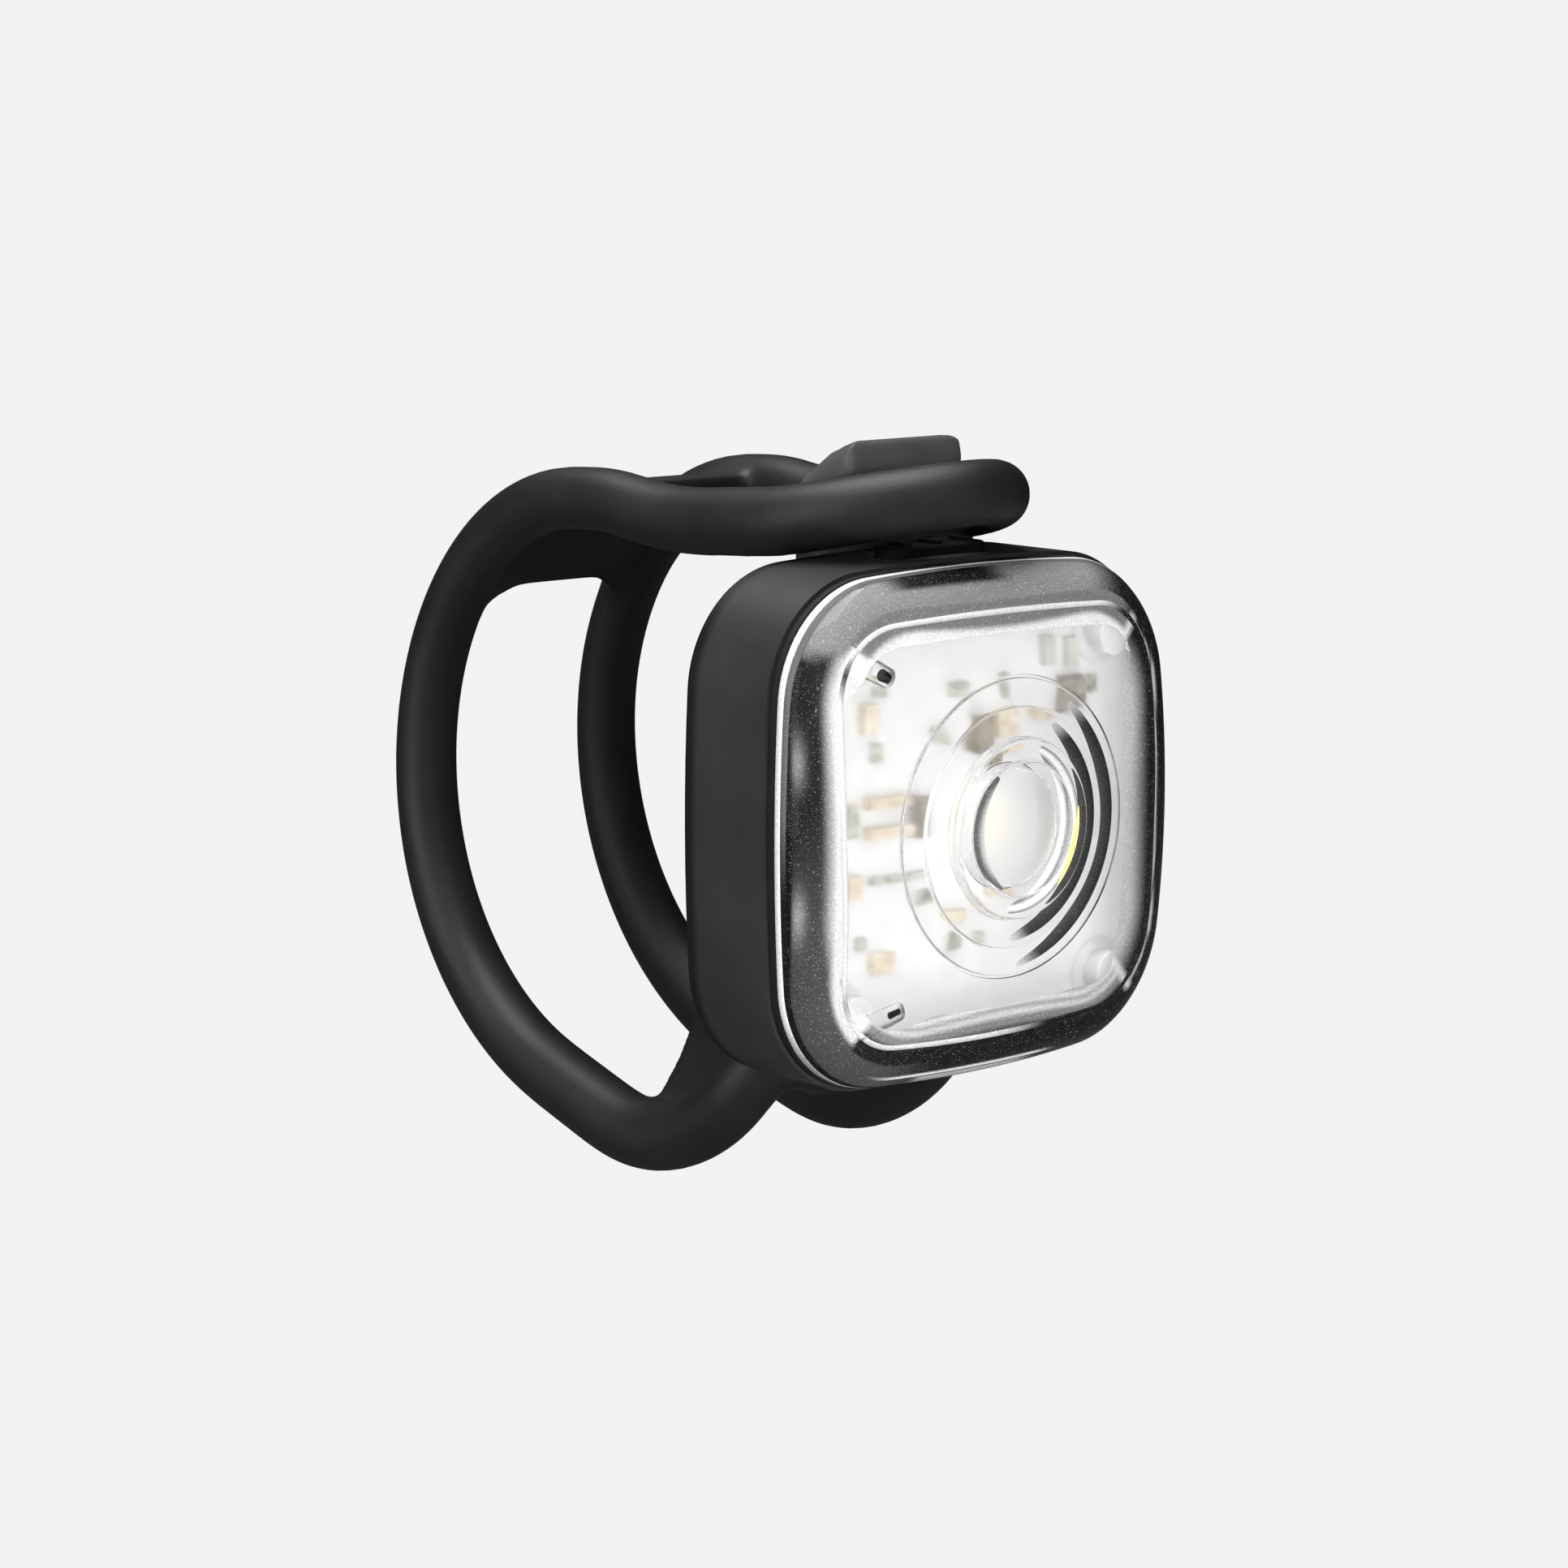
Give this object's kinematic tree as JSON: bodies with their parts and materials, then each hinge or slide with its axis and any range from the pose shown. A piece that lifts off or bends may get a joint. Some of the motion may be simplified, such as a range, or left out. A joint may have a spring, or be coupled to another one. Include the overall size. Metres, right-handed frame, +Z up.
{
  "type": "bike light",
  "caption": "Compact square bicycle front light with a clear domed lens, rear saddle and a twin-cord silicone strap that loops over a hook on top.",
  "frame": {"origin": "on the handlebar's axis, in the middle of the saddle's width", "axes": "+X along the handlebar, to the right of someone facing the lens; +Y rearwards, away from the lens; +Z up"},
  "size_m": [0.0402, 0.0647, 0.0593],
  "materials": {
    "housing_nylon": "fine-grained matt moulding",
    "clear_lens": "clear polycarbonate, polished front, frosted border",
    "strap_silicone": "satin black silicone",
    "gasket_rubber": "matt black rubber",
    "board_white": "white solder mask",
    "board_green": "green solder mask",
    "lamp_ceramic": "white ceramic",
    "lamp_phosphor": "yellow phosphor gel",
    "chip_epoxy": "black epoxy",
    "choke_ferrite": "grey ferrite",
    "capacitor_ceramic": "tan ceramic with tinned ends",
    "signal_gel": "cream diffusing gel",
    "plated_steel": "plated steel",
    "black_steel": "black oxide steel",
    "switch_plastic": "black plastic",
    "button_rubber": "matt black silicone",
    "cell_foil": "embossed pouch foil",
    "foam_tape": "dark foam tape",
    "lead_red": "red wire sheath",
    "lead_black": "black wire sheath"
  },
  "bodies": {
    "light": {"housing": "housing_nylon", "front_gasket": "gasket_rubber", "lens": "clear_lens", "main_board": "board_white", "led_base": "lamp_ceramic", "led_phosphor": "lamp_phosphor", "driver_chip": "chip_epoxy", "charger_chip": "chip_epoxy", "inductor": "choke_ferrite", "capacitors": "capacitor_ceramic", "resistors": "chip_epoxy", "signal_leds": "signal_gel", "switch_body": "plated_steel", "socket_shell": "plated_steel", "socket_tongue": "switch_plastic", "battery_cell": "cell_foil", "battery_pad": "foam_tape", "guard_board": "board_green", "battery_lead_red": "lead_red", "battery_lead_black": "lead_black", "case_screws": "black_steel", "hook_bracket": "housing_nylon", "bracket_screws": "black_steel", "strap_band_left": "strap_silicone", "strap_band_right": "strap_silicone", "strap_boot": "strap_silicone", "strap_bridge": "strap_silicone"},
    "strap_end": {"strap_loop": "strap_silicone"},
    "button": {"power_button": "button_rubber", "switch_plunger": "switch_plastic"},
    "flap": {"port_flap": "button_rubber"}
  },
  "joints": [
    {"name": "strap_release", "type": "hinge", "parent": "light", "child": "strap_end", "pos_m": [0, 0.00672, 0.0275], "axis": [-1, 0, 0], "range_deg": [0, 110], "stiffness_Nm_per_rad": 0.02},
    {"name": "power_button_press", "type": "slide", "parent": "light", "child": "button", "axis": [0, 0, -1], "range_m": [0, 0.0004], "stiffness_N_per_m": 3000},
    {"name": "port_flap_hinge", "type": "hinge", "parent": "light", "child": "flap", "pos_m": [0.0196, -0.0251, -0.0066], "axis": [0, 1, 0], "range_deg": [0, 95], "stiffness_Nm_per_rad": 0.0002}
  ]
}
